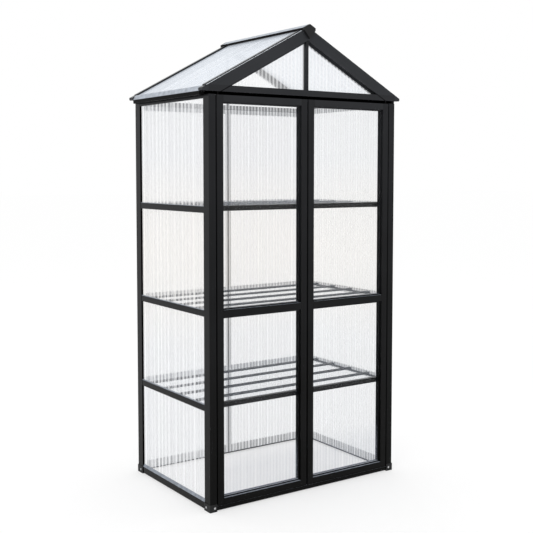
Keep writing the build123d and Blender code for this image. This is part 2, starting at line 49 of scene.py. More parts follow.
class Wire:
    # an output socket; arithmetic on it adds Math nodes to the same tree

    def __init__(self, tree, socket=None):
        self.tree = tree
        self.socket = socket

    def node(self, kind, settings, values, outlet=0):
        made = self.tree.nodes.new(kind)
        for name, value in settings.items():
            setattr(made, name, value)
        for name, value in values.items():
            if isinstance(value, Wire):
                self.tree.links.new(value.socket, made.inputs[name])
            else:
                made.inputs[name].default_value = value
        return Wire(self.tree, made.outputs[outlet] if len(made.outputs) else None)

    def math(self, operation, first, second):
        return self.node("ShaderNodeMath", {"operation": operation}, {0: first, 1: second})

    def __add__(self, other):
        return self.math("ADD", self, other)

    def __radd__(self, other):
        return self.math("ADD", other, self)

    def __sub__(self, other):
        return self.math("SUBTRACT", self, other)

    def __rsub__(self, other):
        return self.math("SUBTRACT", other, self)

    def __mul__(self, other):
        return self.math("MULTIPLY", self, other)

    def __rmul__(self, other):
        return self.math("MULTIPLY", other, self)

    def power(self, other):
        return self.math("POWER", self, other)

    def clip(self, low, high):
        return self.math("MINIMUM", self.math("MAXIMUM", self, low), high)

    def unsigned(self):
        return self.node("ShaderNodeMath", {"operation": "ABSOLUTE"}, {0: self})

    def sine(self):
        return self.node("ShaderNodeMath", {"operation": "SINE"}, {0: self})

    def ramp(self, width):
        # 0 where the value is below 0, then rising evenly to 1 over the width
        return (self * (1 / width)).clip(0.0, 1.0)


def startMaterial(name):
    material = bpy.data.materials.new(name)
    material.use_nodes = True
    material.node_tree.nodes.clear()
    return material, Wire(material.node_tree)


def closeMaterial(tool, settings):
    # settings: sockets of the Principled shader, constant or wired
    shader = tool.node("ShaderNodeBsdfPrincipled", {}, settings)
    tool.node("ShaderNodeOutputMaterial", {}, {"Surface": shader})


def objectCoords(tool):
    return tool.node("ShaderNodeTexCoord", {}, {}, "Object")


def mapped(tool, coords, change):
    # change: Scale in repeats per metre, or Rotation
    return tool.node("ShaderNodeMapping", {"vector_type": "POINT"}, {"Vector": coords, **change})


def noise(tool, scale, detail=3.0, roughness=0.5, coords=None):
    # cloud value 0..1; scale in repeats per metre, one number or one for each axis
    perAxis = scale if isinstance(scale, tuple) else (scale,) * 3
    stretched = mapped(tool, coords or objectCoords(tool), {"Scale": perAxis})
    values = {"Vector": stretched, "Scale": 1.0, "Detail": detail, "Roughness": roughness}
    return tool.node("ShaderNodeTexNoise", {"noise_dimensions": "3D"}, values)


def axisValue(tool, axis):
    return tool.node("ShaderNodeSeparateXYZ", {}, {0: objectCoords(tool)}, axis)


def normalPart(tool, axis):
    # how far the surface looks along an axis, -1..1
    normal = tool.node("ShaderNodeNewGeometry", {}, {}, "Normal")
    return tool.node("ShaderNodeSeparateXYZ", {}, {0: normal}, axis)


def blendColour(tool, factor, first, second):
    values = {0: factor, 6: first, 7: second}
    return tool.node("ShaderNodeMix", {"data_type": "RGBA", "blend_type": "MIX"}, values, 2)


def addBump(tool, strength, depth, height):
    return tool.node("ShaderNodeBump", {}, {"Strength": strength, "Distance": depth, "Height": height})


# roof lines: the CAD part's pitch and rafter width, and the ridge of its rafters
roof = {
    "pitch": math.radians(28.2),
    "rafterWidth": 0.039,
    "ridge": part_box("front_left_rafter")[1].z,
    "sheetStart": 0.0012,  # the roof sheets start this far down the slope
}

# black coat of the bars: fine orange peel, faint draw lines along each bar, a little paler towards the top
# as painted light and darker towards the ground as painted shade, with a painted pale reflection of the sky
# on faces that look up

coat = {
    "low": (0.0020, 0.0020, 0.0019, 1),   # colour at the ground, dark as painted shade
    "high": (0.0190, 0.0198, 0.0220, 1),  # colour at full height, pale as painted light from above
    "height": 1.55,
    "risePower": 1.3,     # how late the upper colour sets in
    "mottle": 7.0,        # clouds, per metre
    "mottleShare": 0.35,  # how far the clouds shift the colour
    "lineShare": 0.22,    # how far the draw lines shift it
    "fleck": (0.060, 0.061, 0.064, 1),
    "fleckScale": 160.0,  # flecks, per metre
    "fleckFrom": 0.66,    # cloud value where a fleck starts
    "fleckSpan": 0.12,    # and over which it grows
    "fleckGain": 5.0,
    "peel": 950.0,        # orange peel, per metre
    "line": 420.0,        # draw lines across the bar, per metre
    "lineLength": 2.5,    # draw lines along the bar, per metre
    # painted pale reflection of the sky on faces that look up, uneven in patches
    "paintedReflection": (0.33, 0.36, 0.41, 1),
    "reflectionShare": 1.0,         # share of the painted sky reflection at its strongest
    "reflectionFrom": 0.2,      # how far a face must look up to catch it
    "reflectionSpan": 0.25,     # and how much further for all of it
    "reflectionPatch": 60.0,    # patches, per metre
    "reflectionEven": 0.8,      # painted reflection on a middling patch
    "reflectionVaries": 0.8,    # how much it differs from patch to patch
    "recess": None,       # heights between which shade is painted on the coat, near black
    "seam": 0.0,          # width of the dark joint below the rafters' lower edge, partly a joint line and partly painted shadow of the proud rafter
    "paintedShadeFront": False,   # painted shade, near black, on faces that look forward
    "frontFrom": 0.5,     # how far a face must look forward for that
    "frontSpan": 0.25,    # and how much further for all of it
    "edge": 0.00025,      # width of the edges of recess, seam and painted reflection
    # colour of the painted shade
    "paintedShade": (0.0004, 0.0004, 0.0004, 1),
    "rough": 0.5,
    "peelRough": 0.14,
    "lineRough": 0.18,
    "mottleRough": 0.10,
    "gloss": {"Specular IOR Level": 0.0, "Coat Weight": 1.0, "Coat IOR": 1.18, "Coat Roughness": 0.18},
    "bump": 0.10,
    "bumpDepth": 0.0005,
    "peelHeight": 0.55,
    "lineHeight": 0.45,
}


def addPaintedReflection(tool, colour, settings):
    # painted pale reflection of the sky where the surface looks up, weaker in patches
    upward = (normalPart(tool, "Z") - settings["reflectionFrom"]).ramp(settings["reflectionSpan"])
    patches = noise(tool, settings["reflectionPatch"])
    share = upward * (settings["reflectionEven"] + (patches - 0.5) * settings["reflectionVaries"]) * settings["reflectionShare"]
    return blendColour(tool, share.clip(0.0, 1.0), colour, settings["paintedReflection"])


def roofDepth(tool):
    # distance under the rafters' top edge, square to the slope
    fall = axisValue(tool, "X").unsigned() * math.tan(roof["pitch"])
    return (roof["ridge"] - axisValue(tool, "Z") - fall) * math.cos(roof["pitch"])


def between(place, low, high):
    # 1 from low to high
    return (place - low).ramp(coat["edge"]) * (high - place).ramp(coat["edge"])


def coatRough(peel, lines, settings):
    return settings["rough"] + (peel - 0.5) * settings["peelRough"] + (lines - 0.5) * settings["lineRough"]


def coatBump(tool, peel, lines, settings):
    height = peel * settings["peelHeight"] + lines * settings["lineHeight"]
    return addBump(tool, settings["bump"], settings["bumpDepth"], height)


def paintedShadeParts(tool, settings):
    # masks of the places where shade is painted on the coat, near black
    parts = []
    if settings["recess"]:
        parts.append(between(axisValue(tool, "Z"), *settings["recess"]))
    if settings["seam"]:
        parts.append(between(roofDepth(tool), roof["rafterWidth"], roof["rafterWidth"] + settings["seam"]))
    if settings["paintedShadeFront"]:
        parts.append((-settings["frontFrom"] - normalPart(tool, "Y")).ramp(settings["frontSpan"]))
    return parts


def makeCoat(name, lineScale, settings):
    material, tool = startMaterial(name)
    peel = noise(tool, settings["peel"], detail=1.5)
    lines = noise(tool, lineScale, detail=2.0)
    mottle = noise(tool, settings["mottle"])
    specks = noise(tool, settings["fleckScale"], detail=4.0, roughness=0.65)
    flecks = (specks - settings["fleckFrom"]).clip(0.0, settings["fleckSpan"]) * settings["fleckGain"]
    # painted light and shade: the colour goes from dark at the ground to pale at the top
    paintedLightRise = (axisValue(tool, "Z") * (1 / settings["height"])).power(settings["risePower"])
    uneven = (mottle - 0.5) * settings["mottleShare"] + (lines - 0.5) * settings["lineShare"]
    plain = blendColour(tool, (paintedLightRise + uneven).clip(0.0, 1.0), settings["low"], settings["high"])
    colour = addPaintedReflection(tool, blendColour(tool, flecks, plain, settings["fleck"]), settings)
    gloss = dict(settings["gloss"])
    # painted shade: near black and without coat where the masks are
    parts = paintedShadeParts(tool, settings)
    if parts:
        paintedShade = sum(parts[1:], parts[0]).clip(0.0, 1.0)
        colour = blendColour(tool, paintedShade, colour, settings["paintedShade"])
        gloss["Coat Weight"] = 1.0 - paintedShade
    closeMaterial(tool, {
        "Base Color": colour,
        "Roughness": coatRough(peel, lines, settings) + (mottle - 0.5) * settings["mottleRough"],
        "Normal": coatBump(tool, peel, lines, settings),
        **gloss,
    })
    return material


# scales of the draw lines, by the way a bar runs
upAndDown = (coat["line"], coat["line"], coat["lineLength"])
sideToSide = (coat["lineLength"], coat["line"], coat["line"])
frontToRear = (coat["line"], coat["lineLength"], coat["line"])

coatWide = makeCoat("black_coat_wide", sideToSide, coat)
coatDeep = makeCoat("black_coat_deep", frontToRear, coat)

# uprights, and what lies under the roof's front, have no painted sky reflection
noReflectionCoat = {**coat, "reflectionShare": 0.0}
coatUpright = makeCoat("black_coat_upright", upAndDown, noReflectionCoat)

# rear posts: painted shade, near black, inside the channel that holds the panes
coatRearPost = makeCoat("black_coat_rear_post", upAndDown, {**noReflectionCoat, "paintedShadeFront": True})

# front posts and what crosses them at the top, with painted shade, near black, in the recess under the
# roof's frame
headCoat = {**noReflectionCoat, "recess": (1.3298, 1.3391)}
coatFrontPost = makeCoat("black_coat_front_post", upAndDown, headCoat)
beamCoat = {**headCoat, "high": (0.026, 0.027, 0.030, 1)}
coatNoReflection = makeCoat("black_coat_no_reflection", sideToSide, beamCoat)
# the tie beam carries a painted shadow line below the rafters' lower edge
coatTieBeam = makeCoat("black_coat_tie_beam", sideToSide, {**beamCoat, "seam": 0.0026})

# ridge cap and eaves: a painted pale reflection of the sky above, and their edges nearly black as painted
# shade
edgeCoat = {
    **coat,
    "low": (0.0010, 0.0010, 0.0010, 1),
    "high": (0.0040, 0.0040, 0.0042, 1),
    "paintedReflection": (0.50, 0.54, 0.60, 1),
    "reflectionFrom": 0.1,
    "gloss": {"Specular IOR Level": 0.0, "Coat Weight": 0.4, "Coat IOR": 1.18, "Coat Roughness": 0.25},
}
coatEdge = makeCoat("black_coat_edge", frontToRear, edgeCoat)

# shelf bars: a shade greyer, with flecks that hardly show and little painted sky reflection
shelfCoat = {
    **coat,
    "low": (0.014, 0.014, 0.0138, 1),
    "high": (0.027, 0.0275, 0.028, 1),
    "fleck": (0.028, 0.028, 0.028, 1),
    "reflectionShare": 0.10,
    "rough": 0.45,
}
coatShelf = makeCoat("black_coat_shelf", sideToSide, shelfCoat)

# rafters: the draw lines run up the slope, so the pattern is turned with it
rafterCoat = {
    **coat,
    "high": (0.034, 0.036, 0.040, 1),
    "level": 0.82,        # share of the upper colour
    "mottleShare": 0.4,
    "lineShare": 0.25,
    # painted highlight along the rafters' top edge, nearly white
    "paintedReflection": (0.88, 0.92, 0.97, 1),
    "reflectionEnd": 0.392,     # painted highlight on the tops ends here, before the tails
    "reflectionFade": 0.0025,   # length of that end
    "strip": 0.245,       # and lie in front of the raised strip that holds the roof sheet
}


def makeRafterCoat(name, side, settings):
    material, tool = startMaterial(name)
    turned = mapped(tool, objectCoords(tool), {"Rotation": (0.0, -side * roof["pitch"], 0.0)})
    lines = noise(tool, sideToSide, detail=2.0, coords=turned)
    peel = noise(tool, settings["peel"], detail=1.5)
    mottle = noise(tool, settings["mottle"])
    uneven = (mottle - 0.5) * settings["mottleShare"] + (lines - 0.5) * settings["lineShare"]
    share = (settings["level"] + uneven).clip(0.0, 1.0)
    plain = blendColour(tool, share, settings["low"], settings["high"])
    # painted highlight on the rafters' tops, in front of the raised strip and before the tails
    beforeTail = (settings["reflectionEnd"] - axisValue(tool, "X").unsigned()).ramp(settings["reflectionFade"])
    onEdge = (axisValue(tool, "Y").unsigned() - settings["strip"]).ramp(settings["edge"])
    closeMaterial(tool, {
        "Base Color": blendColour(tool, beforeTail * onEdge, plain, addPaintedReflection(tool, plain, settings)),
        "Roughness": coatRough(peel, lines, settings),
        "Normal": coatBump(tool, peel, lines, settings),
        **settings["gloss"],
    })
    return material


coatSlopeLeft = makeRafterCoat("black_coat_slope_left", -1, rafterCoat)
coatSlopeRight = makeRafterCoat("black_coat_slope_right", 1, rafterCoat)
print("bar coats made")


# moulded plastic of the feet and the ridge end plates: spark-eroded grain

plastic = {
    "dark": (0.004, 0.004, 0.004, 1),
    "light": (0.020, 0.021, 0.022, 1),
    "grain": 1300.0,     # cells, per metre
    "haze": 30.0,        # clouds, per metre
    "hazeShare": 0.7,
    "grainShare": 0.3,
    "rough": 0.55,
    "hazeRough": 0.2,
    "specular": 0.2,
    "bump": 0.25,
    "bumpDepth": 0.0004,
}


def makePlastic(settings):
    material, tool = startMaterial("moulded_plastic")
    grain = tool.node("ShaderNodeTexVoronoi", {"feature": "F1"}, {
        "Vector": objectCoords(tool),
        "Scale": settings["grain"],
    })
    haze = noise(tool, settings["haze"], detail=4.0)
    share = (haze * settings["hazeShare"] + grain * settings["grainShare"]).clip(0.0, 1.0)
    closeMaterial(tool, {
        "Base Color": blendColour(tool, share, settings["dark"], settings["light"]),
        "Roughness": settings["rough"] + (haze - 0.5) * settings["hazeRough"],
        "Normal": addBump(tool, settings["bump"], settings["bumpDepth"], grain),
        "Specular IOR Level": settings["specular"],
    })
    return material


plasticMaterial = makePlastic(plastic)


# bright steel of the screws: fine scratches

steel = {
    "dark": (0.42, 0.42, 0.43, 1),
    "light": (0.78, 0.78, 0.79, 1),
    "scratch": (2200.0, 2200.0, 300.0),  # per metre along each axis
    "cloud": 260.0,
    "scratchShare": 0.5,
    "cloudShare": 0.5,
    "rough": 0.28,
    "scratchRough": 0.25,
    "bump": 0.08,
    "bumpDepth": 0.0002,
}


def makeSteel(settings):
    material, tool = startMaterial("bright_steel")
    scratch = noise(tool, settings["scratch"])
    cloud = noise(tool, settings["cloud"], detail=2.0)
    share = (scratch * settings["scratchShare"] + cloud * settings["cloudShare"]).clip(0.0, 1.0)
    closeMaterial(tool, {
        "Base Color": blendColour(tool, share, settings["dark"], settings["light"]),
        "Metallic": 1.0,
        "Roughness": settings["rough"] + (scratch - 0.5) * settings["scratchRough"],
        "Normal": addBump(tool, settings["bump"], settings["bumpDepth"], scratch),
    })
    return material


steelMaterial = makeSteel(steel)
print("plastic and steel made")


# clear sheet: the ribs are whiter bands near a fixed pitch, each one different in strength

clear = {
    "pitch": 0.0147,       # from rib to rib
    "wander": 0.016,       # ribs differ over this length
    "level": 0.5,          # middle of the cover
    "even": 0.26,          # how much of the cover follows the pitch
    "uneven": 1.7,         # how much of it differs from rib to rib
    "base": (0.80, 0.81, 0.83, 1),
    "rib": (0.93, 0.94, 0.95, 1),
    "tintPower": 1.5,      # how late the rib colour sets in
    # painted warm reflection in a band by height
    "warm": (0.93, 0.87, 0.79, 1),
    "warmShare": 0.40,     # share of the warm colour at its strongest
    "warmMiddle": 0.80,    # height of the painted warm band
    "warmHalf": 0.34,      # how far it fades out above and below
    "thin": 0.27,          # cover between ribs
    "thick": 0.82,         # cover on the whitest ribs
    "coverPower": 1.3,     # how late the cover sets in
    "lowCover": 0.0,           # cover added near the ground
    "lowCoverTop": 0.19,       # height where the added cover ends
    "lowCoverFade": 1 / 14,    # and the length over which it thins out
    "lowCoverEven": 0.5,       # added cover between ribs, where a full rib has 1 more
    "rough": 0.12,
    "ribRough": 0.2,       # roughness added on the ribs
    "gloss": 5.0,          # higher: gloss only at a very low angle
    "ior": 1.45,
    "paintedGlow": 0.14,       # painted glow in the sheet's own colour, standing in for light that comes through the sheet from its far side
    "lit": 1.0,            # share of the colour that shows in light from the near side
    "unlit": (0, 0, 0, 1),
}


def makeClear(name, axis, settings):
    # axis: the direction across the ribs
    material, tool = startMaterial(name)
    wave = (axisValue(tool, axis) * (2 * math.pi / settings["pitch"])).sine()
    wander = tuple(1 / settings["wander"] if other == axis else 0.0 for other in "XYZ")
    uneven = (noise(tool, wander, detail=2.0, roughness=0.6) - 0.5) * settings["uneven"]
    ribShare = (settings["level"] + wave * settings["even"] + uneven).clip(0.0, 1.0)
    ribbed = blendColour(tool, ribShare.power(settings["tintPower"]), settings["base"], settings["rib"])
    # painted warm reflection, strongest at the band's middle height
    offBand = (axisValue(tool, "Z") - settings["warmMiddle"]) * (1 / settings["warmHalf"])
    paintedWarmth = (1.0 - offBand * offBand).clip(0.0, 1.0) * settings["warmShare"]
    colour = blendColour(tool, paintedWarmth, ribbed, settings["warm"])
    ribCover = ribShare.power(settings["coverPower"]) * (settings["thick"] - settings["thin"])
    cover = settings["thin"] + ribCover
    # more cover near the ground, so what is seen through it low down looks greyer
    if settings["lowCover"]:
        nearGround = (settings["lowCoverTop"] - axisValue(tool, "Z")).ramp(settings["lowCoverFade"])
        cover = cover + nearGround * (settings["lowCoverEven"] + ribShare) * settings["lowCover"]
    gloss = tool.node("ShaderNodeLayerWeight", {}, {"Blend": 0.5}, "Facing").power(settings["gloss"])
    closeMaterial(tool, {
        "Base Color": blendColour(tool, settings["lit"], settings["unlit"], colour),
        "Roughness": settings["rough"] + ribShare * settings["ribRough"],
        "Alpha": (cover + gloss * (1 - cover)).clip(0.0, 1.0),
        # painted glow: the sheet gives off light in its own colour
        "Emission Color": colour,
        "Emission Strength": settings["paintedGlow"],
        "IOR": settings["ior"],
    })
    return material


rearClear = {
    **clear,
    "base": (0.63, 0.64, 0.66, 1),
    "thin": 0.52,
    "thick": 0.86,
    "even": 0.34,
    "paintedGlow": 0.84,
    "lit": 0.25,
}
ribbedAcrossX = makeClear("ribbed_sheet_across_x", "X", rearClear)

gableClear = {
    **clear,
    "base": (0.86, 0.87, 0.89, 1),
    "thin": 0.20,
    "thick": 0.72,
    "even": 0.36,
    "uneven": 0.9,
    "paintedGlow": 0.80,
    "lit": 0.25,
}
ribbedGable = makeClear("ribbed_sheet_gable", "X", gableClear)

# left wall
sideClear = {
    **clear,
    "pitch": 0.025,
    "wander": 0.022,
    "level": 0.36,
    "even": 0.30,
    "uneven": 3.0,
    "base": (0.68, 0.69, 0.72, 1),
    "rib": (0.98, 0.99, 1.00, 1),
    "thin": 0.05,
    "thick": 0.86,
    "paintedGlow": 0.74,
    "lit": 0.25,
}
ribbedAcrossY = makeClear("ribbed_sheet_across_y", "Y", sideClear)

# the right wall is seen from inside, where its ribs look finer and softer
rightClear = {**rearClear, "thin": 0.46, "even": 0.30, "uneven": 1.4}
ribbedRightWall = makeClear("ribbed_sheet_right_wall", "Y", rightClear)

# smooth inner face and edges of the ribbed sheets
smoothClear = {**clear, "thin": 0.015, "thick": 0.04}
smoothAcrossX = makeClear("smooth_sheet_across_x", "X", smoothClear)
smoothAcrossY = makeClear("smooth_sheet_across_y", "Y", smoothClear)

# door panes: almost without cover, with faint streaks low down
doorClear = {
    **clear,
    "base": (0.49, 0.53, 0.63, 1),
    "rib": (0.61, 0.65, 0.75, 1),
    "thin": 0.004,
    "thick": 0.018,
    "lowCover": 0.10,
    "pitch": 0.0132,
    "gloss": 9.0,
    "paintedGlow": 0.45,
    "lit": 0.3,
}
doorSheet = makeClear("door_sheet", "X", doorClear)

roofClear = {
    **clear,
    "base": (0.50, 0.55, 0.62, 1),
    "rib": (0.76, 0.80, 0.86, 1),
    "uneven": 2.2,
    "pitch": 0.030,
    "wander": 0.040,
    "thin": 0.62,
    "thick": 0.86,
    "paintedGlow": 0.50,
    "lit": 0.4,
}
roofSheet = makeClear("roof_sheet", "Y", roofClear)

# underside of the roof, bright with painted glow standing in for the light from above
underRoof = {
    **clear,
    "base": (0.86, 0.89, 0.93, 1),
    "thin": 0.40,
    "thick": 0.50,
    "paintedGlow": 0.85,
    "lit": 0.2,
}
roofUnderside = makeClear("roof_sheet_underside", "Y", underRoof)

shelfClear = {
    **clear,
    "base": (0.60, 0.66, 0.76, 1),
    "rib": (0.66, 0.72, 0.81, 1),
    "warmShare": 0.0,
    "thin": 0.07,
    "thick": 0.12,
    "pitch": 0.02,
    "gloss": 80.0,
}
shelfSheet = makeClear("shelf_sheet", "X", shelfClear)
print("clear sheets made")


# new meshes

def newPiece(name, points, faces, marks, materials, body, slot):
    # faces: lists of point numbers; marks: number of the material of each face
    mesh = bpy.data.meshes.new(name)
    mesh.from_pydata(points.tolist(), [], faces)
    for material in materials:
        mesh.materials.append(material)
    mesh.polygons.foreach_set("material_index", marks.astype(np.int32))
    mesh.update()
    piece = bpy.data.objects.new(name, mesh)
    scene.collection.objects.link(piece)
    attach(piece, body)
    return piece


fluted = {
    "pitch": clear["pitch"],
    "stepsPerRib": 6,
    "flute": 0.0007,     # depth of a flute in each face
    "thickness": 0.004,
}


def flutedSheet(origin, acrossDir, alongDir, outDir, span, low, high):
    # A sheet of two faces whose distance from the middle plane is half the thickness less
    # flute * (1 + cos(2 pi s / pitch)) / 2, s being the place across the ribs. Each line of the
    # section is carried along the ribs from low(s) to high(s).
    # The face on the out side is marked 0, all others 1.
    count = int(span / fluted["pitch"] * fluted["stepsPerRib"]) + 2
    s = np.linspace(0.0, span, count)
    half = fluted["thickness"] / 2 - fluted["flute"] * (1 + np.cos(2 * np.pi * s / fluted["pitch"])) / 2
    half[0] = half[-1] = fluted["thickness"] / 2
    base = np.asarray(origin) + s[:, None] * np.asarray(acrossDir)
    lowLine = base + low(s)[:, None] * np.asarray(alongDir)
    highLine = base + high(s)[:, None] * np.asarray(alongDir)
    outward = half[:, None] * np.asarray(outDir)
    points = np.concatenate([lowLine + outward, highLine + outward, highLine - outward, lowLine - outward])
    step = np.arange(count - 1)
    strips = []
    for row in range(4):
        first = row * count + step
        second = (row + 1) % 4 * count + step
        strips.append(np.stack([first, first + 1, second + 1, second], 1))
    corner = np.arange(4) * count
    strips.append(corner[None, ::-1])
    strips.append(corner[None, :] + count - 1)
    faces = np.concatenate(strips)
    marks = np.ones(len(faces))
    marks[:count - 1] = 0
    return points, faces, marks


def joinSheets(sheets):
    # stacks sheets into one array of points, one list of faces and one array of marks
    points = np.concatenate([sheet[0] for sheet in sheets])
    offsets = np.cumsum([0] + [len(sheet[0]) for sheet in sheets[:-1]])
    faces = np.concatenate([sheet[1] + offset for sheet, offset in zip(sheets, offsets)])
    return points, faces.tolist(), np.concatenate([sheet[2] for sheet in sheets])


def facingOut(piece):
    # makes every face of closed shells point outwards
    bpy.context.view_layer.objects.active = piece
    bpy.ops.object.select_all(action="DESELECT")
    piece.select_set(True)
    bpy.ops.object.mode_set(mode="EDIT")
    bpy.ops.mesh.select_all(action="SELECT")
    bpy.ops.mesh.normals_make_consistent(inside=False)
    bpy.ops.object.mode_set(mode="OBJECT")
    piece.select_set(False)


def flat(value):
    return lambda s: np.full_like(s, value)


# side walls: one tall sheet each, ribs upright
for side, sign, ribbed in (("left", -1, ribbedAcrossY), ("right", 1, ribbedRightWall)):
    lowCorner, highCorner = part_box(side + "_wall_pane")
    sheet = flutedSheet(
        ((lowCorner.x + highCorner.x) / 2, lowCorner.y, 0.0), (0, 1, 0), (0, 0, 1), (sign, 0, 0),
        highCorner.y - lowCorner.y, flat(lowCorner.z), flat(highCorner.z),
    )
    name = side + "_wall_ribbed_sheet"
    piece = newPiece(name, *joinSheets([sheet]), (ribbed, smoothAcrossY), "house", "clear_sheet")
    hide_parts(side + "_wall_pane")
    facingOut(piece)

# rear wall: two sheets that meet behind the mullion
rearWall = {"meeting": 0.0005}  # from the middle of the house to the edge of each sheet
lowCorner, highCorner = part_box("rear_wall_panes")
rearSheets = []
for start in (lowCorner.x, rearWall["meeting"]):
    rearSheets.append(flutedSheet(
        (start, (lowCorner.y + highCorner.y) / 2, 0.0), (1, 0, 0), (0, 0, 1), (0, 1, 0),
        highCorner.x - rearWall["meeting"], flat(lowCorner.z), flat(highCorner.z),
    ))
faceMaterials = (ribbedAcrossX, smoothAcrossX)
piece = newPiece("rear_wall_ribbed_sheets", *joinSheets(rearSheets), faceMaterials, "house", "clear_sheet")
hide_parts("rear_wall_panes")
facingOut(piece)

# gables: two sheets in each, ribs upright, their top edges along the rafters
gable = {
    # facing: out of the house; near, reach: from the middle of the house; low: foot;
    # depth: of the top edge under the rafters' top, square to the slope
    "front": {"facing": -1, "near": 0.0025, "reach": 0.3170, "low": 1.353, "depth": 0.039},
    "rear": {"facing": 1, "near": 0.0005, "reach": 0.3778, "low": 1.323, "depth": 0.021},
}


def gableTop(settings):
    # height of the top edge: it falls with the roof's pitch from the middle of the house outwards
    middleTop = roof["ridge"] - settings["depth"] / math.cos(roof["pitch"])
    return lambda s: middleTop - (settings["near"] + s) * math.tan(roof["pitch"])


lowCorner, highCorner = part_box("gable_panes")
gableSheets = []
for settings in gable.values():
    facing = settings["facing"]
    outerFace = lowCorner.y if facing < 0 else highCorner.y
    middle = outerFace - facing * fluted["thickness"] / 2
    for sign in (-1, 1):
        gableSheets.append(flutedSheet(
            (sign * settings["near"], middle, 0.0), (sign, 0, 0), (0, 0, 1), (0, facing, 0),
            settings["reach"] - settings["near"], flat(settings["low"]), gableTop(settings),
        ))
faceMaterials = (ribbedGable, smoothAcrossX)
piece = newPiece("gable_ribbed_sheets", *joinSheets(gableSheets), faceMaterials, "house", "clear_sheet")
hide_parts("gable_panes")
facingOut(piece)

# roof: ribs run from ridge to eave
for side, sign in (("left", -1), ("right", 1)):
    lowCorner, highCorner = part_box(side + "_roof_sheet")
    outward = np.array([sign * math.sin(roof["pitch"]), 0.0, math.cos(roof["pitch"])])
    downhill = np.array([sign * math.cos(roof["pitch"]), 0.0, -math.sin(roof["pitch"])])
    nearX = min(abs(lowCorner.x), abs(highCorner.x))
    farX = max(abs(lowCorner.x), abs(highCorner.x))
    # the upper edge at the ridge is the highest point of the sheet's box
    topEdge = np.array([sign * nearX, lowCorner.y, highCorner.z])
    run = (farX - nearX) / math.cos(roof["pitch"]) - fluted["thickness"] * math.tan(roof["pitch"])
    sheet = flutedSheet(
        topEdge - outward * fluted["thickness"] / 2, (0, 1, 0), downhill, outward,
        highCorner.y - lowCorner.y, flat(roof["sheetStart"]), flat(run),
    )
    name = side + "_roof_ribbed_sheet"
    piece = newPiece(name, *joinSheets([sheet]), (roofSheet, roofUnderside), "house", "clear_sheet")
    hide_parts(side + "_roof_sheet")
    facingOut(piece)
print("ribbed sheets made")


# foot screws: a shallow dome with a cross recess

screw = {
    "radius": 0.0035,
    "height": 0.0016,
    "dome": 0.75,         # 0: flat top; 1: round down to the seat
    "arm": 0.00055,       # half width of a recess arm
    "armEdge": 0.0002,    # width of its sloping side
    "reach": 0.0021,      # recess arm length
    "reachEdge": 0.0003,  # length of its sloping end
    "sink": 0.0009,       # depth of the recess
    "ringSteps": 16,
    "turnSteps": 48,
    "aboveGround": 0.0125,
    "fromSide": 0.0175,   # from the foot's outer side to a screw in its front or rear face
    "fromEnd": 0.0245,    # from the foot's front or rear face to the screw in its outer side
}


def screwHead(seat, outDir, sideDir):
    # Height over the seat at radius r and turn t is height * sqrt(1 - dome (r / R)^2), less the
    # sink where the nearer of |r cos t| and |r sin t| is under the arm's half width and r is
    # under the recess reach.
    rings = np.linspace(0.0, 1.0, screw["ringSteps"] + 1)[1:] * screw["radius"]
    turns = np.arange(screw["turnSteps"]) * 2 * np.pi / screw["turnSteps"]
    r, t = np.meshgrid(rings, turns, indexing="ij")
    sideways = r * np.cos(t)
    upward = r * np.sin(t)
    top = screw["height"] * np.sqrt(1 - screw["dome"] * (r / screw["radius"]) ** 2)
    fromCross = np.minimum(abs(sideways), abs(upward))
    nearArm = np.clip((screw["arm"] - fromCross) / screw["armEdge"] + 0.5, 0, 1)
    inReach = np.clip((screw["reach"] - r) / screw["reachEdge"] + 0.5, 0, 1)
    top = top - screw["sink"] * nearArm * inReach
    rim = np.stack([sideways[-1], upward[-1], np.zeros_like(sideways[-1])], 1)
    centres = np.array([[0, 0, screw["height"] - screw["sink"]], [0, 0, 0]])
    local = np.concatenate([np.stack([sideways, upward, top], 2).reshape(-1, 3), rim, centres])
    points = np.asarray(seat) + local @ np.array([sideDir, np.cross(outDir, sideDir), outDir])
    count = screw["turnSteps"]
    here = np.arange(count)
    beside = (here + 1) % count
    rimStart = screw["ringSteps"] * count
    crown = np.full(count, rimStart + count)
    ringStart = np.arange(0, rimStart, count)[:, None]
    below = ringStart + count
    bands = np.stack([ringStart + here, below + here, below + beside, ringStart + beside], 2).reshape(-1, 4)
    hub = np.stack([crown, here, beside], 1)
    under = np.stack([crown + 1, rimStart + beside, rimStart + here], 1)
    return points, (bands, hub, under)


# two heads on each foot, one on each outer face
lowCorner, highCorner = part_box("corner_feet")
heads = []
for sideSign in (-1, 1):
    for endSign in (-1, 1):
        seatX = sideSign * highCorner.x
        seatY = endSign * highCorner.y
        screwX = sideSign * (highCorner.x - screw["fromSide"])
        screwY = endSign * (highCorner.y - screw["fromEnd"])
        heads.append(screwHead((screwX, seatY, screw["aboveGround"]), (0, endSign, 0), (endSign, 0, 0)))
        heads.append(screwHead((seatX, screwY, screw["aboveGround"]), (sideSign, 0, 0), (0, -sideSign, 0)))
headPoints = np.concatenate([points for points, faceGroups in heads])
headFaces = []
firstPoint = 0
for points, faceGroups in heads:
    for group in faceGroups:
        headFaces += (group + firstPoint).tolist()
    firstPoint += len(points)
marks = np.zeros(len(headFaces))
piece = newPiece("foot_screw_heads", headPoints, headFaces, marks, (steelMaterial,), "house", "screw_steel")
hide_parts("foot_screws")
facingOut(piece)
print("screw heads made")


# materials of the CAD pieces, by the way each bar runs

def dress(names, material):
    for name in names:
        meshData = nodes[name].data
        meshData.materials.clear()
        meshData.materials.append(material)


